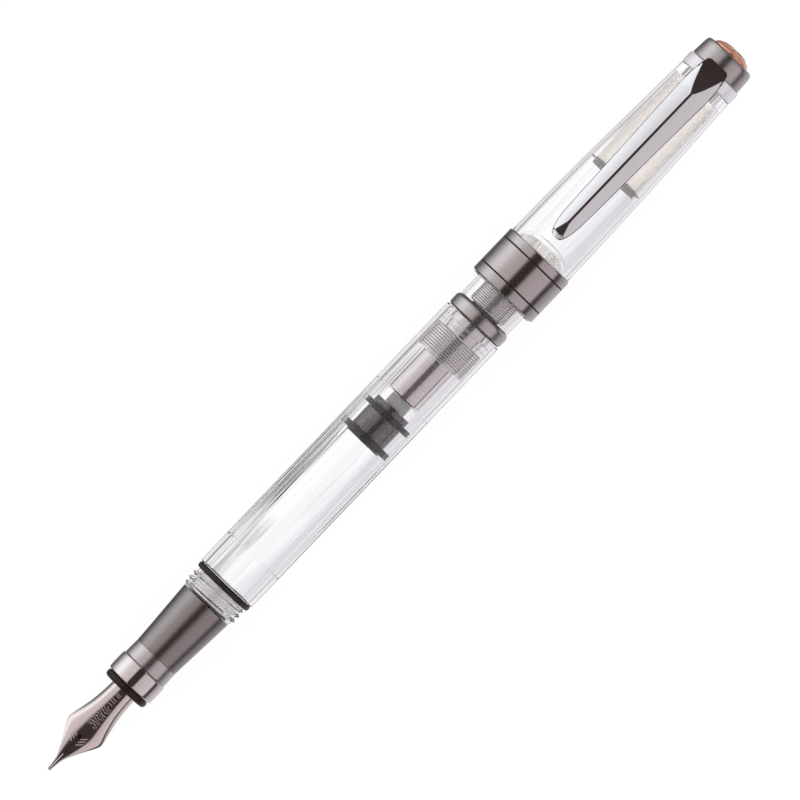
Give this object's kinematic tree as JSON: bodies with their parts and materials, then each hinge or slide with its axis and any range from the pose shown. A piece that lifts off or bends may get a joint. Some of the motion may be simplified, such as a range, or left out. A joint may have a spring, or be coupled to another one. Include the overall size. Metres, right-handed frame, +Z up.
{
  "type": "fountain pen",
  "caption": "Piston-filling fountain pen with a clear faceted barrel, its cap with clip and copper-coloured jewel posted on the piston knob.",
  "frame": {"origin": "centre of the footprint on the surface that the pen lies on, below its axis and halfway along its posted length", "axes": "+X from the nib along the pen to the cap's jewel, +Z up through the clip, +Y across"},
  "size_m": [0.1784, 0.0144, 0.0163],
  "materials": {
    "nib": "polished steel with an engraved border",
    "feed": "matt black",
    "nib_housing": "matt black",
    "section_liner": "black, slightly glossy at the lip",
    "section_ring": "polished",
    "grip": "gunmetal, satin with a brighter band at the front",
    "section_seal": "matt",
    "barrel": "clear acrylic, polished, with cut flats",
    "cap_seat_seal": "matt",
    "piston_head": "dark grey, slightly translucent",
    "piston_seal_front": "dark, smooth",
    "piston_seal_rear": "dark, smooth",
    "piston_rod": "grey",
    "connector": "gunmetal, turned",
    "collar": "gunmetal, polished",
    "spindle": "matt dark grey",
    "knob_core": "gunmetal, finely ribbed",
    "knob_shell": "clear acrylic, polished",
    "cap_body": "clear acrylic, polished",
    "cap_band": "gunmetal, polished, with fine grooves",
    "inner_cap": "translucent, warm grey",
    "inner_cap_seal": "grey, smooth",
    "clip_ring": "polished",
    "clip": "polished",
    "finial": "gunmetal, polished",
    "jewel": "copper-coloured, domed, satin"
  },
  "bodies": {
    "barrel": {"barrel": "barrel", "section_seal": "section_seal", "cap_seat_seal": "cap_seat_seal", "section_liner": "section_liner", "section_ring": "section_ring", "grip": "grip", "nib_housing": "nib_housing", "nib": "nib", "feed": "feed", "connector": "connector", "collar": "collar"},
    "piston": {"piston_head": "piston_head", "piston_seal_front": "piston_seal_front", "piston_seal_rear": "piston_seal_rear", "piston_rod": "piston_rod"},
    "knob": {"knob_core": "knob_core", "knob_shell": "knob_shell", "spindle": "spindle"},
    "cap": {"cap_body": "cap_body", "cap_band": "cap_band", "inner_cap": "inner_cap", "inner_cap_seal": "inner_cap_seal", "clip_ring": "clip_ring", "finial": "finial", "jewel": "jewel"},
    "clip": {"clip": "clip"}
  },
  "joints": [
    {"name": "knob_turn", "type": "hinge", "parent": "barrel", "child": "knob", "pos_m": [0.03275, 0, 0.00716], "axis": [1, 0, 0], "range_deg": [0, 1260]},
    {"name": "piston_slide", "type": "slide", "parent": "barrel", "child": "piston", "axis": [-1, 0, 0], "range_m": [0, 0.028]},
    {"name": "cap_pull", "type": "slide", "parent": "knob", "child": "cap", "axis": [1, 0, 0], "range_m": [0, 0.04]},
    {"name": "clip_flex", "type": "hinge", "parent": "cap", "child": "clip", "pos_m": [0.0834, 0, 0.01345], "axis": [0, 1, 0], "range_deg": [0, 3], "stiffness_Nm_per_rad": 0.5}
  ],
  "couplings": [
    {"joint": "piston_slide", "follows": "knob_turn", "m_per_rad": 0.0012732}
  ]
}
